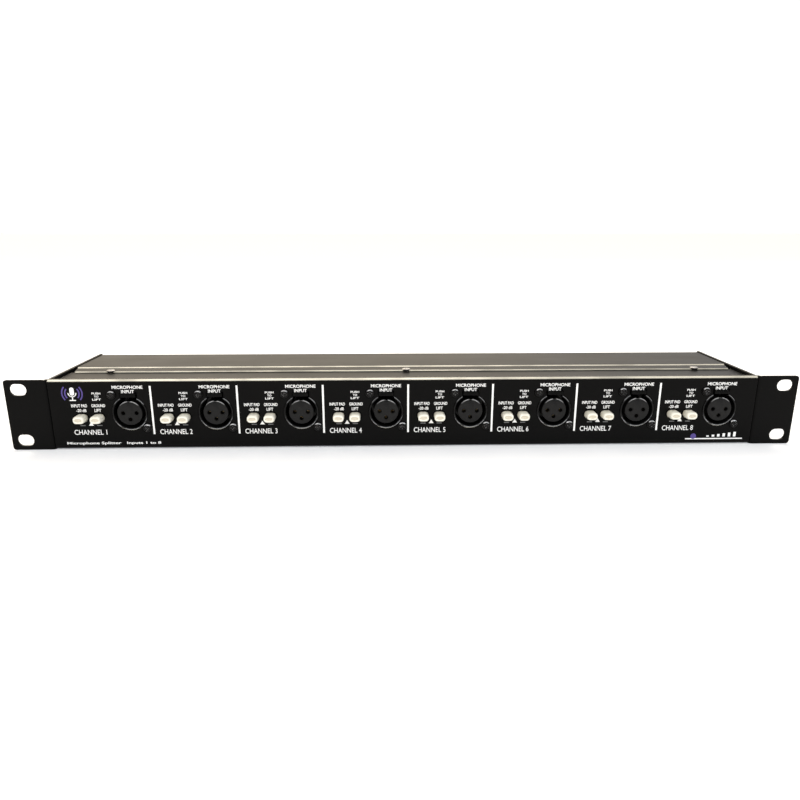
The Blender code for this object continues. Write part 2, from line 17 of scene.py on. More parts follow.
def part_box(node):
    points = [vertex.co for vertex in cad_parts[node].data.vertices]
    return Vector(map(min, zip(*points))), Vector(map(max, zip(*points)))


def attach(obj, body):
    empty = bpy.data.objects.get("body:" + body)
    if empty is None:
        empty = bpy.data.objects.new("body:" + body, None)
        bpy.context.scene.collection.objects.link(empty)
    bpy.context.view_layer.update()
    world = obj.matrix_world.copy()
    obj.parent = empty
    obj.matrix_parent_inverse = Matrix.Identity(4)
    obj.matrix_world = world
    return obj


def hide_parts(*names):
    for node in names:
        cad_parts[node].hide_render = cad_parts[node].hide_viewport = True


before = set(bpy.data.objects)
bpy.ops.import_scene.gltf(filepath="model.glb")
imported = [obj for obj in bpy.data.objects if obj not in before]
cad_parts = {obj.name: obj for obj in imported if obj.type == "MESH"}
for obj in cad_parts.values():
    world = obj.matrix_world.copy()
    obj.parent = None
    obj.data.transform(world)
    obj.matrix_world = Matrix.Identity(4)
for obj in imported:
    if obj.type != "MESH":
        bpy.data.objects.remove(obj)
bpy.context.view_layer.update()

# %% [markdown]
# ## Places
#
# The panel's face is the plane that everything in front is measured from. The ears lie in it, so
# the lowest y of a side plate gives it. A socket's housing reaches 12 mm below its axis, and a
# button's axis is the middle of its box.

# %% Places taken from the frame
MM = 0.001
CHANNELS = range(1, 9)
AXIS_ABOVE_HOUSING = 12.0 * MM
FACE_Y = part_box("side_plate_left")[0].y
REAR_FACE_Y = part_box("rear_panel")[1].y


def middle(node):
    low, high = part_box(node)
    return (low + high) / 2


def socket_axis(channel):
    """Where a front socket's axis meets the panel's face."""
    node = f"input_socket_{channel}"
    return Vector((middle(node).x, FACE_Y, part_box(node)[0].z + AXIS_ABOVE_HOUSING))


def button_axis(kind, channel):
    centre = middle(f"{kind}_button_{channel}")
    return Vector((centre.x, FACE_Y, centre.z))


def outputs_axis(channel):
    """Midway between a channel's two rear sockets, on the rear panel's outer face."""
    node = f"output_pair_{channel}"
    return Vector((middle(node).x, REAR_FACE_Y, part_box(node)[0].z + AXIS_ABOVE_HOUSING))


PITCH = socket_axis(2).x - socket_axis(1).x
print(f"channels {PITCH / MM:.2f} mm apart, panel face at y {FACE_Y / MM:.2f} mm")

# %% [markdown]
# ## Shapes
#
# Turned parts come off a lathe profile, moulded ones are an outline pulled straight, and a
# Boolean joins or cuts them. Every finished shape then gets a small rounding on its sharp edges,
# because a moulded or turned edge is never quite sharp and its rounding is what catches the
# light.

# %% Outlines
def arc(centre, radius, start, end, steps):
    """Points along an arc, its angles in degrees, both ends included."""
    angles = [math.radians(start + (end - start) * i / steps) for i in range(steps + 1)]
    return [(centre[0] + radius * math.cos(a), centre[1] + radius * math.sin(a)) for a in angles]


def circle(radius, sides):
    return arc((0.0, 0.0), radius, 0, 360 * (sides - 1) / sides, sides - 1)


def rectangle(low, high):
    return [low, (high[0], low[1]), high, (low[0], high[1])]


def oblong(width, height, corner, steps):
    """A rectangle about the origin with round corners."""
    points = []
    for quarter, (sx, sy) in enumerate(((1, 1), (-1, 1), (-1, -1), (1, -1))):
        centre = (sx * (width / 2 - corner), sy * (height / 2 - corner))
        points += arc(centre, corner, 90 * quarter, 90 * (quarter + 1), steps)
    return points


# %% Solids
def mesh_from(bm):
    bmesh.ops.recalc_face_normals(bm, faces=bm.faces)
    mesh = bpy.data.meshes.new("shape")
    bm.to_mesh(mesh)
    bm.free()
    return mesh


def loop_of(bm, outline, depth, along="Y"):
    """Vertices for an (x, z) outline at one y, or for a (y, z) outline at one x."""
    points = [(a, depth, b) if along == "Y" else (depth, a, b) for a, b in outline]
    return [bm.verts.new(point) for point in points]


def bridge(bm, near, far):
    """Faces between two loops of equally many vertices."""
    for i in range(len(near)):
        j = (i + 1) % len(near)
        bm.faces.new((near[i], near[j], far[j], far[i]))


def pulled(outline, start, end, along="Y"):
    """An (x, z) outline pulled along Y, or a (y, z) outline pulled along X."""
    bm = bmesh.new()
    near = loop_of(bm, outline, start, along)
    far = loop_of(bm, outline, end, along)
    bm.faces.new(near)
    bm.faces.new(far)
    bridge(bm, near, far)
    return mesh_from(bm)


def block(low, high):
    return pulled(rectangle((low[0], low[2]), (high[0], high[2])), low[1], high[1])


def turned(profile, sides):
    """A profile of (distance along, radius) points, both ends on the axis, spun about Y."""
    bm = bmesh.new()
    points = [bm.verts.new((radius, along, 0)) for along, radius in profile]
    edges = [bm.edges.new(pair) for pair in zip(points, points[1:])]
    bmesh.ops.spin(bm, geom=points + edges, cent=(0, 0, 0), axis=(0, 1, 0), steps=sides,
                   angle=2 * math.pi)
    bmesh.ops.remove_doubles(bm, verts=bm.verts, dist=0.001 * MM)
    return mesh_from(bm)


def shifted(mesh, x=0.0, y=0.0, z=0.0):
    copy = mesh.copy()
    copy.transform(Matrix.Translation((x, y, z)))
    return copy


def spun(mesh, degrees, axis):
    copy = mesh.copy()
    copy.transform(Matrix.Rotation(math.radians(degrees), 4, axis))
    return copy


def together(*meshes):
    bm = bmesh.new()
    for mesh in meshes:
        bm.from_mesh(mesh)
    result = bpy.data.meshes.new("shapes")
    bm.to_mesh(result)
    bm.free()
    return result


def smoothed(mesh, angle=50):
    """Smooth shading that keeps the edges sharper than this many degrees."""
    mesh.shade_smooth()
    mesh.set_sharp_from_angle(angle=math.radians(angle))
    return mesh


def with_modifier(mesh, kind, **settings):
    """The mesh after one modifier."""
    work = bpy.data.objects.new("work", mesh)
    bpy.context.scene.collection.objects.link(work)
    modifier = work.modifiers.new("work", kind)
    for name, value in settings.items():
        setattr(modifier, name, value)
    bpy.context.view_layer.update()
    graph = bpy.context.evaluated_depsgraph_get()
    result = bpy.data.meshes.new_from_object(work.evaluated_get(graph))
    bpy.data.objects.remove(work)
    return result


def combined(base, tool, operation):
    helper = bpy.data.objects.new("tool", tool)
    bpy.context.scene.collection.objects.link(helper)
    result = with_modifier(base, "BOOLEAN", operation=operation, solver="EXACT",
                           use_self=True, object=helper)
    bpy.data.objects.remove(helper)
    return result


def cut(base, *tools):
    return combined(base, together(*tools), "DIFFERENCE")


def fused(base, *parts):
    for part in parts:
        base = combined(base, part, "UNION")
    return base


def rounded(mesh, width, segments=2, angle=40):
    """Sharp edges rounded over, and the rest shaded smooth."""
    result = with_modifier(mesh, "BEVEL", width=width, segments=segments, limit_method="ANGLE",
                           angle_limit=math.radians(angle), use_clamp_overlap=True)
    return smoothed(result)


# %% [markdown]
# ## Shader arithmetic
#
# A finish is a Principled shader with a few varying values behind it. `Value` wraps one output of
# a node so that ordinary arithmetic builds Math nodes, and `Finish.node` makes any other node
# from its type, its settings and what goes into it.

# %% One socket, with arithmetic
class Value:
    """One output of a node."""

    def __init__(self, finish, socket):
        self.finish = finish
        self.socket = socket

    def __add__(self, other):
        return self.finish.math("ADD", self, other)

    def __sub__(self, other):
        return self.finish.math("SUBTRACT", self, other)

    def __rsub__(self, other):
        return self.finish.math("SUBTRACT", other, self)

    def __mul__(self, other):
        return self.finish.math("MULTIPLY", self, other)

    def __truediv__(self, other):
        return self.finish.math("DIVIDE", self, other)

    def __rtruediv__(self, other):
        return self.finish.math("DIVIDE", other, self)

    def __pow__(self, other):
        return self.finish.math("POWER", self, other)

    def __rpow__(self, other):
        return self.finish.math("POWER", other, self)

    __radd__ = __add__
    __rmul__ = __mul__

    def above(self, limit):
        return self.finish.math("GREATER_THAN", self, limit)

    def below(self, limit):
        return self.finish.math("LESS_THAN", self, limit)

    def ramp(self, low, high):
        """0 at low, 1 at high, eased between. Low may be the larger."""
        settings = {"interpolation_type": "SMOOTHSTEP"}
        return self.finish.node("MapRange", settings, {0: self, 1: low, 2: high})


class Finish:
    """A material and the nodes behind its Principled shader."""

    def __init__(self, name, **uniform):
        self.material = bpy.data.materials.new(name)
        self.material.use_nodes = True
        self.tree = self.material.node_tree
        self.shader = self.tree.nodes["Principled BSDF"]
        self.set(**uniform)

    def put(self, socket, value):
        if isinstance(value, Value):
            self.tree.links.new(value.socket, socket)
        else:
            socket.default_value = value

    def set(self, **values):
        """Shader inputs by name, with _ for a space."""
        for name, value in values.items():
            self.put(self.shader.inputs[name.replace("_", " ")], value)

    def node(self, kind, settings=None, inputs=None, output=0):
        made = self.tree.nodes.new("ShaderNode" + kind)
        for name, value in (settings or {}).items():
            setattr(made, name, value)
        for name, value in (inputs or {}).items():
            self.put(made.inputs[name], value)
        return Value(self, made.outputs[output])

    def math(self, operation, *values):
        return self.node("Math", {"operation": operation}, dict(enumerate(values)))

    def vector(self, operation, *values, output=0):
        return self.node("VectorMath", {"operation": operation}, dict(enumerate(values)), output)

    def blend(self, factor, first, second):
        """From the first colour to the second."""
        return self.node("Mix", {"data_type": "RGBA"}, {0: factor, 6: first, 7: second}, 2)

    def axes(self, value):
        return [self.node("SeparateXYZ", None, {0: value}, i) for i in range(3)]

    def hypotenuse(self, across, height):
        return self.math("SQRT", across * across + height * height)

    def base_colour(self):
        """What feeds the base colour so far."""
        return Value(self, self.shader.inputs["Base Color"].links[0].from_socket)

    def place(self):
        """Coordinates in metres that don't move with the object's own size."""
        return self.node("TexCoord", None, None, "Object")

    def noise(self, scale, detail=3.0, stretch=None):
        """Noise from 0 to 1. The scale is in cells to the metre."""
        where = self.place()
        if stretch:
            where = self.vector("MULTIPLY", where, stretch)
        return self.node("TexNoise", None, {"Vector": where, "Scale": scale, "Detail": detail})

    def soft_normal(self, radius):
        """The normal as if sharp edges had that rounding."""
        return self.node("Bevel", {"samples": 6}, {"Radius": radius})

    def worn_edges(self, radius, spread=0.12):
        """1 on a sharp edge, 0 on the flat."""
        sharp = self.node("NewGeometry", None, None, "Normal")
        turn = self.vector("DOT_PRODUCT", self.soft_normal(radius), sharp, output="Value")
        return (1.0 - turn).ramp(0.01, spread)

    def bump(self, height, depth, strength=1.0, over=None):
        inputs = {"Height": height, "Distance": depth, "Strength": strength}
        if over:
            inputs["Normal"] = over
        return self.node("Bump", None, inputs)


def grey(value, warmth=0.0):
    """A neutral colour, a little warm or a little cool."""
    return (value * (1 + warmth), value, value * (1 - warmth), 1.0)


# %% [markdown]
# ## Black paint
#
# The case is folded sheet with a thin baked black paint. Its skin has a fine orange peel and its
# gloss wanders where hands and cloths have been. The folds that face up carry a painted highlight:
# a pale line in the base colour that stands in for the light they catch, most of all on those that
# run across its front, and a little less so towards the right. Some dust lies on what faces up. It
# is kept faint: it only lifts the lid above the front.

# %% Black paint
EAR_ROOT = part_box("front_panel")[1].x + 2.0 * MM


def painted_fold_highlight(paint, soft, lip_y):
    """How strongly the painted fold highlight lies on the paint. The soft normal turns gradually
    over every fold.
    """
    sideways, _, tilt = paint.axes(soft)
    across, along, _ = paint.axes(paint.place())
    fold = tilt.ramp(0.30, 0.62) * tilt.ramp(0.995, 0.95)
    on_case = paint.math("ABSOLUTE", across).below(EAR_ROOT)
    at_side = paint.math("ABSOLUTE", sideways).ramp(0.15, 0.45)
    at_rear = along.ramp(-10 * MM, 35 * MM)
    fold = fold * on_case * (1.0 - at_side * 0.85) * (1.0 - at_rear * 0.75)
    if lip_y is not None:
        fold = paint.math("MAXIMUM", fold, along.ramp(lip_y + 0.25 * MM, lip_y + 0.05 * MM))
    at_right = across.ramp(20 * MM, 120 * MM)
    uneven = 0.62 + paint.noise(45, 4, (1.0, 3.0, 3.0)).ramp(0.3, 0.6) * 0.38
    return fold * (1.0 - at_right * 0.3) * uneven


def black_paint(name, lip_y=None):
    """The case's paint. The lid's front edge stands at lip_y, and the painted fold highlight covers
    its whole height.
    """
    paint = Finish(name, Specular_IOR_Level=0.055)
    peel = paint.noise(1900, 2)
    cloud = paint.noise(26, 4)
    grain = paint.noise(7000, 2)
    smear = paint.noise(90, 3, (0.25, 1.0, 3.0))
    up = paint.axes(paint.node("NewGeometry", None, None, "Normal"))[2]
    dust = up.ramp(0.6, 0.98) * (0.35 + grain.ramp(0.45, 0.75) * 0.65) * cloud.ramp(0.3, 0.75)
    soft = paint.soft_normal(0.55 * MM)
    fold_highlight = painted_fold_highlight(paint, soft, lip_y)
    wear = paint.worn_edges(0.3 * MM) * paint.noise(700, 4).ramp(0.50, 0.72)
    colour = paint.blend(cloud, grey(0.0022, 0.05), grey(0.0036, 0.02))
    colour = paint.blend(dust * 0.16, colour, (0.26, 0.225, 0.18, 1.0))
    colour = paint.blend(wear * 0.25, colour, grey(0.08, 0.06))
    # Painted highlight: a cream line on the upward folds and the lid's front edge stands in for the
    # light they catch.
    colour = paint.blend(fold_highlight * 0.95, colour, (0.96, 0.91, 0.76, 1.0))
    paint.set(Base_Color=colour,
              Roughness=0.30 + cloud * 0.08 + smear * 0.07 + dust * 0.12 - fold_highlight * 0.08,
              Normal=paint.bump(peel + grain * 0.35, 0.012 * MM, 0.5, soft))
    return paint.material


# %% [markdown]
# ## Plated steel
#
# The base tray is bare sheet with a pale zinc plating. Plating follows the rolled grain of the
# sheet, so its streaks run one way, and it dulls in soft patches.

# %% Plated steel
def plated_steel():
    zinc = Finish("zinc_plate_finish", Metallic=1.0)
    streak = zinc.noise(420, 4, (0.06, 1.0, 1.0))
    patch = zinc.noise(60, 3)
    spangle = zinc.node("TexVoronoi", None, {"Vector": zinc.place(), "Scale": 160.0}, "Color")
    facet = zinc.axes(spangle)[0]
    wear = zinc.worn_edges(0.3 * MM)
    colour = zinc.blend(streak * 0.6 + facet * 0.4, grey(0.42, -0.02), grey(0.62, 0.02))
    colour = zinc.blend(patch.ramp(0.5, 0.8) * 0.5, colour, (0.47, 0.44, 0.36, 1.0))
    colour = zinc.blend(wear * 0.4, colour, grey(0.75))
    zinc.set(Base_Color=colour, Roughness=0.26 + patch * 0.2 + facet * 0.08,
             Normal=zinc.bump(streak, 0.01 * MM, 0.4))
    return zinc.material


# %% [markdown]
# ## Moulded plastics
#
# The socket bodies, inserts, latches and buttons are injection moulded. A moulding has a faint
# spark texture, flows that leave slow changes of gloss, and edges polished by plugs and fingers.

# %% Moulded plastic
def moulded(name, dark, light, rough, speck=0.03, edge=None, depth=0.010, wear_at=0.5, **uniform):
    plastic = Finish(name, **uniform)
    flow = plastic.noise(140, 4, (1.0, 0.5, 1.0))
    spark = plastic.noise(5200, 2)
    rub = plastic.worn_edges(0.3 * MM) * plastic.noise(1100, 3).ramp(0.42, 0.7)
    colour = plastic.blend(flow.ramp(0.25, 0.75), dark, light)
    colour = plastic.blend(spark.ramp(0.62, 0.8) * speck, colour, grey(0.5))
    colour = plastic.blend(rub * wear_at, colour, edge or grey(light[1] * 2.5 + 0.01))
    plastic.set(Base_Color=colour, Roughness=rough + (flow - 0.5) * 0.14 - rub * 0.08,
                Normal=plastic.bump(spark + flow * 0.5, depth * MM, 0.5))
    return plastic


def socket_shell_plastic():
    """Black moulding with a painted highlight on its round lip, most of all along its lower half.
    """
    shell = moulded("socket_shell_finish", grey(0.002), grey(0.004), 0.24, speck=0.004,
                    wear_at=0.15, Specular_IOR_Level=0.15)
    across, along, height = shell.axes(shell.place())
    radius = shell.hypotenuse(across, height)
    lip = radius.ramp(10.06 * MM, 10.2 * MM) * along.below(0.1 * MM)
    lower = height.ramp(-1.5 * MM, -8.0 * MM)
    upper = height.ramp(5.0 * MM, 6.0 * MM) * height.ramp(9.6 * MM, 8.9 * MM) * 0.5
    # Painted highlight: a pale arc on the lip stands in for the light it reflects.
    lip_highlight = lip * (lower + upper) * shell.noise(500, 3).ramp(0.25, 0.5)
    shell.set(Base_Color=shell.blend(lip_highlight * 0.9, shell.base_colour(), grey(0.50, -0.02)))
    return shell.material


def insert_plastic():
    """Charcoal moulding with a painted glint along the top of its rim."""
    insert = moulded("socket_insert_finish", grey(0.0032, 0.02), grey(0.0055, 0.02), 0.36,
                     speck=0.006, depth=0.016, wear_at=0.2, Specular_IOR_Level=0.2)
    across, along, height = insert.axes(insert.place())
    radius = insert.hypotenuse(across, height)
    rim = radius.ramp(6.95 * MM, 7.15 * MM) * along.below(0.2 * MM)
    # Painted highlight: a pale patch along the rim's top stands in for a glint.
    painted_top_glint = rim * height.ramp(4.2 * MM, 6.4 * MM) * insert.noise(700, 3).ramp(0.3, 0.5)
    insert.set(Base_Color=insert.blend(painted_top_glint * 0.8, insert.base_colour(), grey(0.45)))
    return insert.material


def ivory_plastic():
    """Button ivory, with painted shade in the finger's dish, and darker and yellower towards the
    panel along the flanks.
    """
    ivory = moulded("ivory_button_finish", (0.83, 0.79, 0.66, 1.0), (0.90, 0.87, 0.76, 1.0), 0.33,
                    speck=0.02, edge=(0.92, 0.90, 0.82, 1.0), depth=0.006)
    across, along, height = ivory.axes(ivory.place())
    reach = (across / (2.45 * MM)) ** 2.0 + (height / (1.15 * MM)) ** 2.0
    in_dish = reach.ramp(1.15, 0.65) * along.below(-5.2 * MM)
    # Painted shade: the dish is darker where it faces away from the light.
    dish_shade = in_dish * (0.55 + ivory.noise(900, 3) * 0.5)
    darker_towards_panel = along.ramp(-3.5 * MM, 0.5 * MM) * 0.35
    colour = ivory.blend(darker_towards_panel, ivory.base_colour(), (0.66, 0.59, 0.42, 1.0))
    ivory.set(Base_Color=ivory.blend(dish_shade * 0.85, colour, (0.52, 0.45, 0.33, 1.0)))
    return ivory.material


# %% [markdown]
# ## Metals
#
# Screws are blackened steel, rubbed bright where a driver has sat. The three along the lid's
# front edge take a far lighter steel as a painted highlight, and the heads beside the sockets
# carry a painted glint along their upper rim. Contacts and pins are plated brass, with fine rings
# left by turning.

# %% Turned metals
def screw_steel(name, dark, light, painted_top_glint=False):
    """Blackened steel. The flag adds a painted glint along the upper rim of a head that faces
    forward.
    """
    steel = Finish(name, Metallic=0.85)
    blotch = steel.noise(900, 4)
    scratch = steel.noise(2600, 3, (0.15, 1.0, 1.0))
    bright = steel.worn_edges(0.25 * MM, 0.15) * blotch.ramp(0.25, 0.5)
    colour = steel.blend(blotch, dark, light)
    colour = steel.blend(bright, colour, grey(0.85))
    if painted_top_glint:
        across, _, height = steel.axes(steel.place())
        radius = steel.hypotenuse(across, height)
        # Painted highlight: a pale crescent on the upper rim stands in for a glint.
        glint_mask = radius.ramp(1.9 * MM, 2.2 * MM) * (height - steel.math("ABSOLUTE", across) * 0.35)
        colour = steel.blend(glint_mask.ramp(0.7 * MM, 1.3 * MM) * 0.8, colour, grey(0.75))
    steel.set(Base_Color=colour, Roughness=0.22 + blotch * 0.2 + scratch * 0.06,
              Normal=steel.bump(scratch, 0.008 * MM, 0.5))
    return steel.material


def contact_brass():
    brass = Finish("contact_brass_finish", Metallic=1.0)
    rings = brass.node("TexWave", {"bands_direction": "Y"},
                       {"Vector": brass.place(), "Scale": 900.0, "Distortion": 1.5})
    tarnish = brass.noise(500, 3)
    colour = brass.blend(tarnish.ramp(0.45, 0.75), (0.62, 0.50, 0.28, 1.0), (0.30, 0.22, 0.12, 1.0))
    brass.set(Base_Color=colour, Roughness=0.18 + tarnish * 0.2,
              Normal=brass.bump(rings, 0.004 * MM, 0.4))
    return brass.material


# %% [markdown]
# ## Print
#
# The legends are screen printed: a thick ink that stands just proud of the paint, not quite even,
# with pinholes where the mesh didn't let it through.

# %% Printed ink
def ink(name, colour, thin):
    print_ink = Finish(name, Specular_IOR_Level=0.3)
    mottle = print_ink.noise(2600, 3)
    pinhole = print_ink.noise(5200, 2).ramp(0.70, 0.78)
    rub = print_ink.noise(60, 3).ramp(0.55, 0.8)
    shade = print_ink.blend(mottle.ramp(0.3, 0.8) * 0.4 + rub * 0.3, colour, thin)
    print_ink.set(Base_Color=print_ink.blend(pinhole * 0.6, shade, grey(0.02)),
                  Roughness=0.42 + mottle * 0.16,
                  Normal=print_ink.bump(mottle, 0.006 * MM, 0.4))
    return print_ink.material


# %% [markdown]
# ## Inside finishes
#
# The lid hides them, but they are there: a board with its green mask over copper tracks, dark
# switch bodies standing on it, and transformers with stacked iron and a taped winding.

# %% Circuit board
def circuit_board():
    board = Finish("circuit_board_finish", Coat_Roughness=0.15)
    _, _, height = board.axes(board.place())
    above = height.above(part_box("main_circuit_board")[0].z + 1.75 * MM)
    cells = board.node("TexVoronoi", {"feature": "DISTANCE_TO_EDGE"},
                       {"Vector": board.vector("MULTIPLY", board.place(), (90.0, 260.0, 1.0)),
                        "Scale": 1.0}, "Distance")
    track = cells.ramp(0.10, 0.05)
    pads = board.node("TexVoronoi", {"feature": "F1"},
                      {"Vector": board.place(), "Scale": 210.0, "Randomness": 0.35}, "Distance")
    pad = pads.ramp(0.22, 0.16)
    fleck = board.noise(2500, 3)
    mask = board.blend(track, (0.008, 0.075, 0.028, 1.0), (0.02, 0.16, 0.06, 1.0))
    face = board.blend(pad, mask, (0.62, 0.60, 0.54, 1.0))
    body = board.blend(fleck, grey(0.012, -0.1), grey(0.03, -0.1))
    board.set(Base_Color=board.blend(above, face, body), Metallic=pad * (1.0 - above),
              Roughness=0.30 + fleck * 0.2 + above * 0.15,
              Coat_Weight=(1.0 - above) * 0.5,
              Normal=board.bump(track + pad + fleck * 0.2, 0.03 * MM, 0.5))
    return board.material


def laminated_iron():
    """Stacked iron plates, and amber tape on the winding that stands out of both faces."""
    iron = Finish("laminated_iron_finish")
    low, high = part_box("transformer_1")
    _, along, _ = iron.axes(iron.place())
    from_middle = iron.math("ABSOLUTE", along - (low.y + high.y) / 2)
    tape = from_middle.ramp(8.05 * MM, 8.35 * MM)
    plates = iron.node("TexWave", {"bands_direction": "Y"},
                       {"Vector": iron.place(), "Scale": 320.0, "Distortion": 0.6})
    rust = iron.noise(700, 4)
    steel = iron.blend(rust.ramp(0.45, 0.8), grey(0.17), (0.15, 0.085, 0.05, 1.0))
    amber = iron.blend(iron.noise(300, 3), (0.55, 0.34, 0.07, 1.0), (0.70, 0.48, 0.14, 1.0))
    iron.set(Base_Color=iron.blend(tape, iron.blend(plates * 0.5, steel, grey(0.06)), amber),
             Metallic=(1.0 - tape) * 0.8, Roughness=0.40 + rust * 0.2 - tape * 0.1,
             Normal=iron.bump(plates * (1.0 - tape) + rust * 0.3, 0.05 * MM, 0.6))
    return iron.material


# %% Make the finishes
FINISH = {
    "paint": black_paint("black_paint_finish"),
    "lid_paint": black_paint("lid_paint_finish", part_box("top_cover")[0].y),
    "zinc": plated_steel(),
    "shell": socket_shell_plastic(),
    "output_shell": moulded("output_shell_finish", grey(0.0022), grey(0.0045), 0.26, speck=0.006,
                            wear_at=0.5, edge=grey(0.16), Specular_IOR_Level=0.25).material,
    "insert": insert_plastic(),
    "latch": moulded("latch_finish", grey(0.0012), grey(0.0025), 0.34, speck=0.002, wear_at=0.08,
                     Specular_IOR_Level=0.08).material,
    "ivory": ivory_plastic(),
    "screw": screw_steel("black_screw_finish", grey(0.010), grey(0.035, 0.05)),
    # The socket screws carry a painted glint on their upper rims.
    "socket_screw": screw_steel("socket_screw_finish", grey(0.004), grey(0.014, 0.05), painted_top_glint=True),
    # Painted highlight: the lid's front screws take a far lighter steel than the others, standing
    # in for the light their heads reflect.
    "lid_screw": screw_steel("lid_screw_highlight_finish", grey(0.20, 0.03), grey(0.34, 0.05)),
    "brass": contact_brass(),
    "white_ink": ink("white_ink_finish", (0.94, 0.94, 0.92, 1.0), (0.78, 0.78, 0.76, 1.0)),
    "violet_ink": ink("violet_ink_finish", (0.085, 0.06, 0.25, 1.0), (0.055, 0.04, 0.17, 1.0)),
    "grey_ink": ink("grey_ink_finish", (0.16, 0.16, 0.16, 1.0), (0.10, 0.10, 0.10, 1.0)),
    "board": circuit_board(),
    "iron": laminated_iron(),
}
print(len(FINISH), "finishes")


# %% [markdown]
# ## Pieces that keep their CAD shape
#
# The folded sheets, the tray, the board and the transformers already have their true shape, so
# they only take a finish.

# %% Dress the CAD nodes
def dress(finish, *nodes):
    for node in nodes:
        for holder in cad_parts[node].material_slots:
            holder.material = FINISH[finish]


def piece(name, mesh, finish, place, body="case", stands_for=()):
    """One shown piece, riding on a CAD body."""
    made = bpy.data.objects.new(name, mesh)
    bpy.context.scene.collection.objects.link(made)
    if not mesh.materials:
        mesh.materials.append(FINISH[finish])
    made.location = place
    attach(made, body)
    if stands_for:
        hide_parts(*stands_for)
    return made


dress("paint", "front_panel", "rear_panel", "side_plate_left", "side_plate_right")
dress("lid_paint", "top_cover")
dress("zinc", "base_tray")
dress("board", "main_circuit_board")
dress("iron", *[f"transformer_{channel}" for channel in CHANNELS])

# %% [markdown]
# ## Screws
#
# Small pan heads with a cross recess, pressed from wire and blackened. The head's dome and the
# recess catch small white glints, and the finishes of the lid's and the sockets' screws add painted
# highlights.

# %% Pan-head screw
HEAD_RADIUS = 2.5 * MM
SHANK_RADIUS = 1.3 * MM
COVER_HEAD = 0.8 * MM


def pan_head(height, length):
    """Head outward along -Y from its seat at 0, shank behind."""
    dome = [(-height, 0.0), (-height, HEAD_RADIUS * 0.45)]
    for angle in (0.35, 0.7, 1.05, 1.35, 1.57):
        dome.append((-height + height * 0.55 * (1 - math.cos(angle)),
                     HEAD_RADIUS * (0.45 + 0.55 * math.sin(angle))))
    shank = [(-0.02 * MM, HEAD_RADIUS), (0.0, HEAD_RADIUS * 0.97), (0.0, SHANK_RADIUS),
             (length, SHANK_RADIUS), (length, 0.0)]
    head = turned(dome + shank, 40)
    arm = 1.35 * MM
    half = 0.28 * MM
    floor = -height + min(0.75 * height, 0.9 * MM)
    slots = [block((-arm, -2 * MM, -half), (arm, floor, half)),
             block((-half, -2 * MM, -arm), (half, floor, arm))]
    return rounded(cut(head, fused(*slots)), 0.06 * MM, 1, 35)


PANEL_SCREW = pan_head(1.4 * MM, 3.5 * MM)
COVER_SCREW = pan_head(COVER_HEAD, 5.0 * MM)
print("a screw has", len(PANEL_SCREW.polygons), "faces")

# %% [markdown]
# ## Female sockets
#
# A moulded shell sits behind the panel and its round nose comes through the hole. Its narrow lip
# carries a painted highlight. Inside the ring-shaped gap that takes a plug's sleeve stands the
# contact insert, with three holes and a key groove. The latch lies in a slot that opens the ring
# at its top.

# %% Socket shapes
NOSE_RADIUS = 10.4 * MM
BORE_RADIUS = 9.6 * MM
INSERT_RADIUS = 7.45 * MM
HOUSING_HALF_WIDTH = 12.3 * MM
HOUSING_TOP = 13.4 * MM
SLOT_HALF_WIDTH = 4.9 * MM
BORE_DEPTH = 16.0 * MM
CONTACTS = ((-4.0 * MM, 0.0), (4.0 * MM, 0.0), (0.0, -4.0 * MM))
SOCKET_SCREWS = ((-9.8 * MM, 11.5 * MM), (9.9 * MM, -9.4 * MM))


def socket_shell():
    housing = block((-HOUSING_HALF_WIDTH, 1.5 * MM, -AXIS_ABOVE_HOUSING),
                    (HOUSING_HALF_WIDTH, 26.0 * MM, HOUSING_TOP))
    shell = fused(housing, pulled(circle(NOSE_RADIUS, 96), -0.4 * MM, 2.5 * MM))
    bore = pulled(circle(BORE_RADIUS, 96), -2 * MM, BORE_DEPTH)
    slot = block((-SLOT_HALF_WIDTH, -2 * MM, 7.9 * MM), (SLOT_HALF_WIDTH, 22 * MM, 12.8 * MM))
    return rounded(cut(shell, fused(bore, slot)), 0.24 * MM, 3)


def contact_insert():
    body = pulled(circle(INSERT_RADIUS, 80), -0.3 * MM, BORE_DEPTH + 0.5 * MM)
    holes = [shifted(pulled(circle(1.25 * MM, 28), -2 * MM, 12 * MM), x, 0, z) for x, z in CONTACTS]
    key = block((-1.0 * MM, -2 * MM, INSERT_RADIUS - 0.9 * MM),
                (1.0 * MM, 10 * MM, INSERT_RADIUS + 1 * MM))
    return rounded(cut(body, *holes, key), 0.28 * MM, 3)


def spring_contact():
    """A split tube at the bottom of its hole."""
    tube = pulled(circle(1.15 * MM, 24), 4.5 * MM, 11.5 * MM)
    tube = cut(tube, pulled(circle(0.85 * MM, 24), 0, 9 * MM))
    return rounded(cut(tube, block((-0.12 * MM, 0, 0), (0.12 * MM, 7 * MM, 2 * MM))), 0.04 * MM, 1)


def latch_tab():
    """The pad that a thumb pushes, its arm, and the hook that holds a plug."""
    top = 12.4 * MM
    side = [(-0.9 * MM, 10 * MM), (-0.9 * MM, top - 0.6 * MM), (-0.3 * MM, top), (6 * MM, top),
            (7 * MM, top - 1 * MM), (18 * MM, top - 1 * MM), (18 * MM, 10 * MM)]
    arm = pulled(side, -4.5 * MM, 4.5 * MM, "X")
    hook = [(3.0 * MM, 8.8 * MM), (4.2 * MM, 8.1 * MM), (5.2 * MM, 8.1 * MM), (5.2 * MM, 10.6 * MM),
            (3.0 * MM, 10.6 * MM)]
    tab = fused(arm, pulled(hook, -1.4 * MM, 1.4 * MM, "X"))
    grips = [block((-3.4 * MM, -2 * MM, z), (3.4 * MM, -0.72 * MM, z + 0.25 * MM))
             for z in (10.75 * MM, 11.35 * MM)]
    return rounded(cut(tab, *grips), 0.18 * MM, 2)


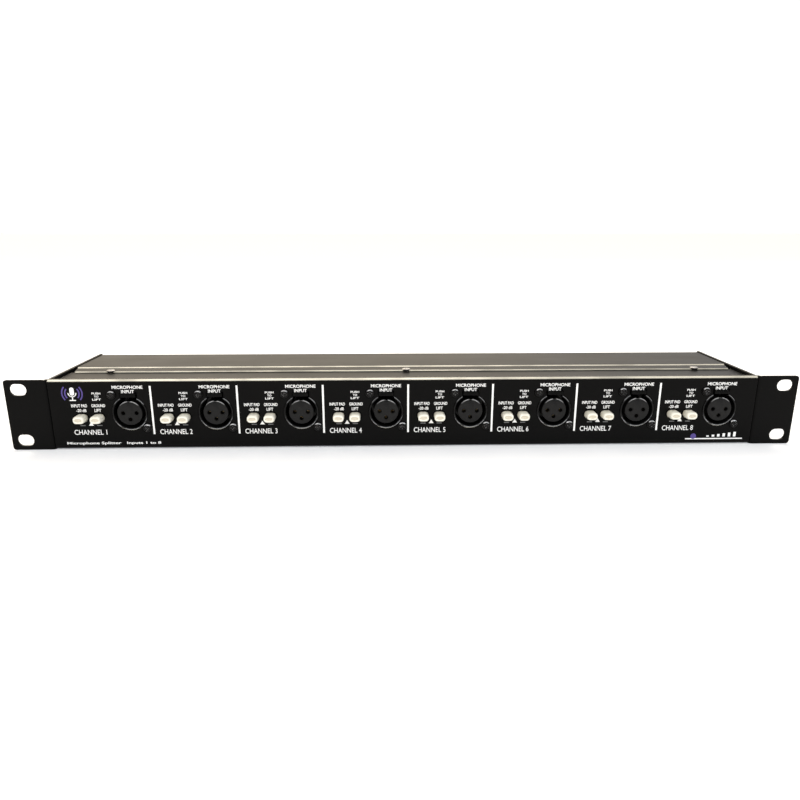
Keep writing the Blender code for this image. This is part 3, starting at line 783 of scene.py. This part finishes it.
SHELL = socket_shell()
INSERT_SHAPE = contact_insert()
CONTACT_SET = smoothed(together(*[shifted(spring_contact(), x, 0, z) for x, z in CONTACTS]))
LATCH_SHAPE = latch_tab()

# %% Place the sockets
for channel in CHANNELS:
    axis = socket_axis(channel)
    piece(f"socket_shell_{channel}", SHELL, "shell", axis,
          stands_for=[f"input_socket_{channel}"])
    piece(f"socket_insert_{channel}", INSERT_SHAPE, "insert", axis)
    piece(f"socket_contacts_{channel}", CONTACT_SET, "brass", axis)
    piece(f"latch_tab_{channel}", LATCH_SHAPE, "latch", axis, f"latch_body_{channel}",
          [f"latch_{channel}"])
    for corner, (dx, dz) in zip(("upper", "lower"), SOCKET_SCREWS):
        piece(f"socket_screw_{corner}_{channel}", PANEL_SCREW, "socket_screw",
              axis + Vector((dx, -0.3 * MM, dz)))
print("sockets at x", [round(socket_axis(channel).x / MM, 1) for channel in CHANNELS])

# %% [markdown]
# ## Push buttons
#
# Each cap is a soft oblong with a shallow dish for the fingertip, on a square stem that reaches
# the switch. The loops below run from the middle of the dish out over the rim and back along the
# flank.

# %% Button
def button_loops():
    """(y, width, height, corner) from the dish's middle to the back of the cap."""
    dish = [(-5.50, 0.8, 0.4, 0.18), (-5.50, 2.6, 1.1, 0.5), (-5.62, 3.9, 1.8, 0.85),
            (-5.86, 4.5, 2.25, 1.05), (-5.98, 4.9, 2.6, 1.2)]
    rim = [(-6.0, 5.2, 2.95, 1.3), (-5.92, 5.65, 3.45, 1.5), (-5.70, 6.05, 3.95, 1.7),
           (-5.30, 6.38, 4.33, 1.85), (-4.80, 6.56, 4.54, 1.95), (-4.2, 6.6, 4.6, 2.0)]
    flank = [(-1.0, 6.6, 4.6, 2.0), (3.6, 6.6, 4.6, 2.0)]
    return [[value * MM for value in row] for row in dish + rim + flank]


def button_shape():
    bm = bmesh.new()
    loops = []
    for y, width, height, corner in button_loops():
        loops.append(loop_of(bm, oblong(width, height, corner, 7), y))
    for near, far in zip(loops, loops[1:]):
        bridge(bm, near, far)
    bm.faces.new(loops[0])
    bm.faces.new(loops[-1])
    cap = mesh_from(bm)
    stem = block((-1.5 * MM, 3.5 * MM, -1.5 * MM), (1.5 * MM, 17 * MM, 1.5 * MM))
    return smoothed(together(cap, stem), 45)


BUTTON = button_shape()
for channel in CHANNELS:
    for kind in ("pad", "ground_lift"):
        piece(f"{kind}_cap_{channel}", BUTTON, "ivory", button_axis(kind, channel),
              f"{kind}_button_body_{channel}", [f"{kind}_button_{channel}"])
print(2 * len(CHANNELS), "buttons")

# %% [markdown]
# ## Male outputs
#
# Two male sockets a channel share one moulding behind the rear panel. A cup holds three pins, and
# two screws fix each one.

# %% Output shapes
SHOULDER = -1.5 * MM
MOUTH = 0.4 * MM
CUP_RADIUS = 8.0 * MM
CUP_FLOOR = MOUTH - 13.9 * MM
PIN_LENGTH = 12.4 * MM
OUTPUT_HALF = PITCH / 4
OUTPUT_SCREWS = ((-10.0 * MM, 10.6 * MM), (10.0 * MM, -10.6 * MM))


def output_shell():
    """One moulding for both outputs, seen from the rear panel's outer face at y = 0."""
    front = SHOULDER - 20 * MM
    shell = block((-HOUSING_HALF_WIDTH, front, -AXIS_ABOVE_HOUSING),
                  (HOUSING_HALF_WIDTH, SHOULDER, HOUSING_TOP))
    shell = fused(shell, pulled(circle(NOSE_RADIUS, 96), SHOULDER - 1 * MM, MOUTH))
    shell = cut(shell, pulled(circle(CUP_RADIUS, 80), CUP_FLOOR, MOUTH + 2 * MM))
    web = block((-2 * MM, front + 2 * MM, -8 * MM), (2 * MM, SHOULDER - 6 * MM, 8 * MM))
    pair = together(shifted(shell, -OUTPUT_HALF), shifted(shell, OUTPUT_HALF), web)
    return rounded(pair, 0.24 * MM, 3)


def output_pins():
    root = CUP_FLOOR - 1 * MM
    tip = CUP_FLOOR + PIN_LENGTH
    pin = turned([(root, 0.0), (root, 1.2 * MM), (tip - 1.2 * MM, 1.2 * MM),
                  (tip - 0.7 * MM, 1.1 * MM), (tip - 0.25 * MM, 0.8 * MM), (tip, 0.35 * MM),
                  (tip, 0.0)], 28)
    pins = [shifted(pin, side * OUTPUT_HALF + x, 0, z) for side in (-1, 1) for x, z in CONTACTS]
    return smoothed(together(*pins))


OUTPUT_SHELL = output_shell()
OUTPUT_PINS = output_pins()
REAR_SCREW = spun(PANEL_SCREW, 180, "Z")
REAR_SCREWS = together(*[shifted(REAR_SCREW, side * OUTPUT_HALF + dx, 0.3 * MM, dz)
                         for side in (-1, 1) for dx, dz in OUTPUT_SCREWS])
for channel in CHANNELS:
    axis = outputs_axis(channel)
    piece(f"output_shell_{channel}", OUTPUT_SHELL, "output_shell", axis,
          stands_for=[f"output_pair_{channel}"])
    piece(f"output_pins_{channel}", OUTPUT_PINS, "brass", axis)
    piece(f"output_screws_{channel}", REAR_SCREWS, "screw", axis)

# %% [markdown]
# ## Cover screws
#
# Three low screws hold the front edge of the lid and two hold its tongue at the rear.

# %% Cover screws
TOP_SCREW = spun(COVER_SCREW, -90, "X")
BACK_SCREW = spun(COVER_SCREW, 180, "Z")
for place in ("left", "centre", "right"):
    node = f"cover_screw_{place}"
    seat = Vector((middle(node).x, middle(node).y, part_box(node)[1].z - COVER_HEAD))
    piece(f"lid_screw_{place}", TOP_SCREW, "lid_screw", seat,
          stands_for=[node])
for place in ("left", "right"):
    node = f"rear_cover_screw_{place}"
    seat = Vector((middle(node).x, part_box(node)[1].y - COVER_HEAD, middle(node).z))
    piece(f"rear_lid_screw_{place}", BACK_SCREW, "screw", seat,
          stands_for=[node])

# %% [markdown]
# ## Printed legends
#
# White screen print on the panel: rules between the channels, plain words for what each control
# does, and a channel number. All of it is ordinary wording in a plain face. The ink is a layer
# 0.03 mm thick on the panel.

# %% Ink shapes
INK = 0.03 * MM


def stamp(outline, x=0.0, z=0.0):
    """A printed patch on the panel, from an outline about (x, z), in metres."""
    return shifted(pulled(outline, -INK, 0.0), x, 0.0, z)


def bar(x_low, x_high, z_low, z_high):
    return stamp(rectangle((x_low * MM, z_low * MM), (x_high * MM, z_high * MM)))


def words(text, width, height, x, z, weight=0.018):
    """A line of letters fitted to a width and height and centred on (x, z), all in millimetres."""
    curve = bpy.data.curves.new("letters", "FONT")
    curve.body = text
    curve.resolution_u = 3
    curve.offset = weight
    curve.extrude = 0.01
    holder = bpy.data.objects.new("letters", curve)
    bpy.context.scene.collection.objects.link(holder)
    bpy.context.view_layer.update()
    graph = bpy.context.evaluated_depsgraph_get()
    mesh = bpy.data.meshes.new_from_object(holder.evaluated_get(graph))
    bpy.data.objects.remove(holder)
    xs = [v.co.x for v in mesh.vertices]
    ys = [v.co.y for v in mesh.vertices]
    centre = ((min(xs) + max(xs)) / 2, (min(ys) + max(ys)) / 2)
    scale = (width * MM / (max(xs) - min(xs)), height * MM / (max(ys) - min(ys)))
    for v in mesh.vertices:
        across = (v.co.x - centre[0]) * scale[0] + x * MM
        up = (v.co.y - centre[1]) * scale[1] + z * MM
        v.co = (across, -INK if v.co.z > 0 else 0.0, up)
    return mesh


def ring_part(radius, thickness, start, end, x, z):
    """An arc-shaped band about (x, z), in millimetres and degrees."""
    outer = arc((0, 0), radius * MM, start, end, 16)
    inner = arc((0, 0), (radius - thickness) * MM, end, start, 16)
    return stamp(outer + inner, x * MM, z * MM)


# %% Legends of one channel
PAD_X = -29.0
GROUND_X = -19.0
BETWEEN_X = -24.0


def channel_print(channel):
    """Legends in the channel's own cell, in millimetres from the socket's axis and the floor."""
    triangle = [(-1.5 * MM, 0.0), (1.5 * MM, 0.0), (0.0, 2.4 * MM)]
    parts = [words("MICROPHONE", 18.3, 2.0, 0.0, 39.05),
             words("INPUT", 7.6, 2.0, 0.0, 36.35),
             words("INPUT PAD", 9.4, 1.9, PAD_X - 0.8, 27.7),
             words("GROUND", 8.2, 1.9, GROUND_X + 0.6, 27.7),
             words("-20 dB", 6.0, 1.9, PAD_X + 0.2, 24.7),
             words("LIFT", 4.0, 1.9, GROUND_X, 24.7),
             words(f"CHANNEL {channel}", 19.6, 3.2, BETWEEN_X - 0.9, 10.9, 0.004),
             stamp(triangle, BETWEEN_X * MM, 15.1 * MM)]
    for row, text in enumerate(("PUSH", "TO", "LIFT")):
        parts.append(words(text, 1.3 * len(text), 1.25, GROUND_X + 0.1, 35.3 - 1.9 * row))
    return together(*parts)


def channel_marks():
    """Dim marks under the two buttons."""
    return together(*[bar(x - 1.6, x + 1.6, 14.9, 15.5) for x in (PAD_X, GROUND_X)])


MARKS = channel_marks()
for channel in CHANNELS:
    place = Vector((socket_axis(channel).x, FACE_Y, 0.0))
    piece(f"print_channel_{channel}", channel_print(channel), "white_ink", place)
    piece(f"print_marks_{channel}", MARKS, "grey_ink", place)

# %% Rules, emblem and foot line
EMBLEM_X = -201.5
RULE_X = 0.26
RULE_HALF_WIDTH = 0.55


def emblem():
    """A plain microphone: a capsule in its yoke on a foot."""
    capsule = stamp(oblong(2.6 * MM, 5.0 * MM, 1.29 * MM, 8), EMBLEM_X * MM, 36.6 * MM)
    yoke = ring_part(2.6, 0.5, 180, 360, EMBLEM_X, 35.7)
    stem = bar(EMBLEM_X - 0.3, EMBLEM_X + 0.3, 31.4, 33.4)
    foot = bar(EMBLEM_X - 1.9, EMBLEM_X + 1.9, 30.8, 31.4)
    return together(capsule, yoke, stem, foot)


def emblem_waves():
    """Sound spreading to both sides."""
    waves = [ring_part(radius, 0.8, turn - 42, turn + 42, EMBLEM_X, 35.4)
             for radius in (4.6, 6.4) for turn in (0, 180)]
    return together(*waves)


def foot_print():
    """A line of words at the left, and a rule with rising level bars at the right."""
    line = words("Microphone Splitter   Inputs 1 to 8", 57.0, 2.1, -180.0, 3.7)
    levels = [bar(188.0 + 3.4 * i, 189.6 + 3.4 * i, 4.8, 5.6 + 0.45 * i) for i in range(6)]
    return together(line, bar(174.6, 211.0, 3.2, 3.9), *levels)


def foot_dot():
    """A coloured disc at the head of the rule."""
    return stamp(circle(1.8 * MM, 32), 179.6 * MM, 5.2 * MM)


rules = []
for i in range(-3, 4):
    rule_x = RULE_X + i * PITCH / MM
    rules.append(bar(rule_x - RULE_HALF_WIDTH, rule_x + RULE_HALF_WIDTH, 9.4, 39.8))
panel_origin = Vector((0.0, FACE_Y, 0.0))
piece("print_rules", together(*rules), "white_ink", panel_origin)
piece("print_emblem", emblem(), "white_ink", panel_origin)
piece("print_waves", emblem_waves(), "violet_ink", panel_origin)
piece("print_foot", foot_print(), "white_ink", panel_origin)
over_print = panel_origin + Vector((0.0, -0.02 * MM, 0.0))
piece("print_foot_dot", foot_dot(), "violet_ink", over_print)
print(len(rules), "rules between", len(CHANNELS), "channels")

# %% [markdown]
# ## Studio
#
# A pale floor under a pale room. Three soft boxes light the box: a broad one in front and above
# for the panel, a smaller one on the other side, and a long strip overhead that runs along the
# folds as thin bright lines. The room is brighter behind than in front, which is what gives a
# black lid its warm grey sheen at a low angle while the panel stays black.

# %% Floor and room
FLOOR_HALF = 6.0
FLOOR_GAP = 0.2 * MM
ROOM_FRONT = (0.50, 0.51, 0.53, 1.0)
ROOM_BEHIND_LEFT = (1.98, 1.74, 1.40, 1.0)
ROOM_BEHIND_RIGHT = (1.12, 1.07, 1.03, 1.0)


def floor():
    bm = bmesh.new()
    bmesh.ops.create_grid(bm, x_segments=1, y_segments=1, size=FLOOR_HALF)
    mesh = mesh_from(bm)
    pale = Finish("floor_finish", Roughness=0.75, Specular_IOR_Level=0.2,
                  Emission_Color=(0.92, 0.95, 1.0, 1.0), Emission_Strength=0.22)
    cloud = pale.noise(3, 2)
    pale.set(Base_Color=pale.blend(cloud, grey(0.86), grey(0.88)))
    mesh.materials.append(pale.material)
    made = bpy.data.objects.new("floor", mesh)
    bpy.context.scene.collection.objects.link(made)
    made.location.z = -FLOOR_GAP
    return made


def room():
    world = bpy.data.worlds.new("room")
    world.use_nodes = True
    nodes = world.node_tree.nodes
    links = world.node_tree.links
    where = nodes.new("ShaderNodeTexCoord")
    split = nodes.new("ShaderNodeSeparateXYZ")
    links.new(where.outputs["Generated"], split.inputs[0])

    def eased(axis, low, high):
        ramp = nodes.new("ShaderNodeMapRange")
        ramp.interpolation_type = "SMOOTHSTEP"
        ramp.inputs[1].default_value = low
        ramp.inputs[2].default_value = high
        links.new(split.outputs[axis], ramp.inputs[0])
        return ramp.outputs[0]

    def toned(factor, first, second):
        tone = nodes.new("ShaderNodeMix")
        tone.data_type = "RGBA"
        for index, colour in ((6, first), (7, second)):
            if isinstance(colour, tuple):
                tone.inputs[index].default_value = colour
            else:
                links.new(colour, tone.inputs[index])
        links.new(factor, tone.inputs[0])
        return tone.outputs[2]

    behind = toned(eased(0, 0.0, 0.5), ROOM_BEHIND_LEFT, ROOM_BEHIND_RIGHT)
    around = toned(eased(1, -0.2, 0.6), ROOM_FRONT, behind)
    links.new(around, nodes["Background"].inputs["Color"])
    bpy.context.scene.world = world


floor()
room()


# %% Soft boxes
def soft_box(name, place, aim, size, power, colour=(1.0, 1.0, 1.0)):
    lamp = bpy.data.lights.new(name, "AREA")
    lamp.shape = "RECTANGLE"
    lamp.size = size[0]
    lamp.size_y = size[1]
    lamp.energy = power
    lamp.color = colour
    made = bpy.data.objects.new(name, lamp)
    bpy.context.scene.collection.objects.link(made)
    made.location = place
    made.rotation_euler = (Vector(aim) - Vector(place)).to_track_quat("-Z", "Y").to_euler()
    return made


soft_box("front_box", (-0.5, -1.3, 1.2), (0, 0, 0.02), (1.2, 0.9), 15, (1.0, 0.97, 0.93))
soft_box("side_box", (0.9, -0.9, 0.8), (0, 0, 0.02), (0.6, 0.6), 5, (0.90, 0.95, 1.0))
soft_box("strip_box", (0.0, 1.2, 0.95), (0, 0, 0.04), (1.8, 0.30), 14, (1.0, 0.96, 0.88))

# %% [markdown]
# ## Camera
#
# A camera in front and a little above, looking down on the panel, with the lens of a close
# catalogue view.

# %% Camera
SENSOR_MM = 36.0
LENS_MM = 29.69
SHIFT = (-0.0028, 0.0073)
CAMERA_PLACE = Vector((-14.84, -388.13, 136.82)) * MM
YAW, PITCH_DOWN, ROLL = (math.radians(a) for a in (1.698, 15.886, 0.073))


def camera():
    """Forward from the yaw and the pitch down, then the roll about it."""
    forward = Vector((math.sin(YAW) * math.cos(PITCH_DOWN),
                      math.cos(YAW) * math.cos(PITCH_DOWN), -math.sin(PITCH_DOWN)))
    level = Vector((math.cos(YAW), -math.sin(YAW), 0.0))
    up = level.cross(forward)
    right = level * math.cos(ROLL) + up * math.sin(ROLL)
    top = up * math.cos(ROLL) - level * math.sin(ROLL)
    place = CAMERA_PLACE + Vector((0.0, FACE_Y, 0.0))
    data = bpy.data.cameras.new("camera")
    data.sensor_width = SENSOR_MM
    data.lens = LENS_MM
    data.shift_x, data.shift_y = SHIFT
    data.clip_start = 0.01
    made = bpy.data.objects.new("camera", data)
    bpy.context.scene.collection.objects.link(made)
    columns = Matrix((right, top, -forward)).transposed().to_4x4()
    made.matrix_world = Matrix.Translation(place) @ columns
    bpy.context.scene.camera = made
    return made


camera()
bpy.context.scene.view_settings.view_transform = "Standard"
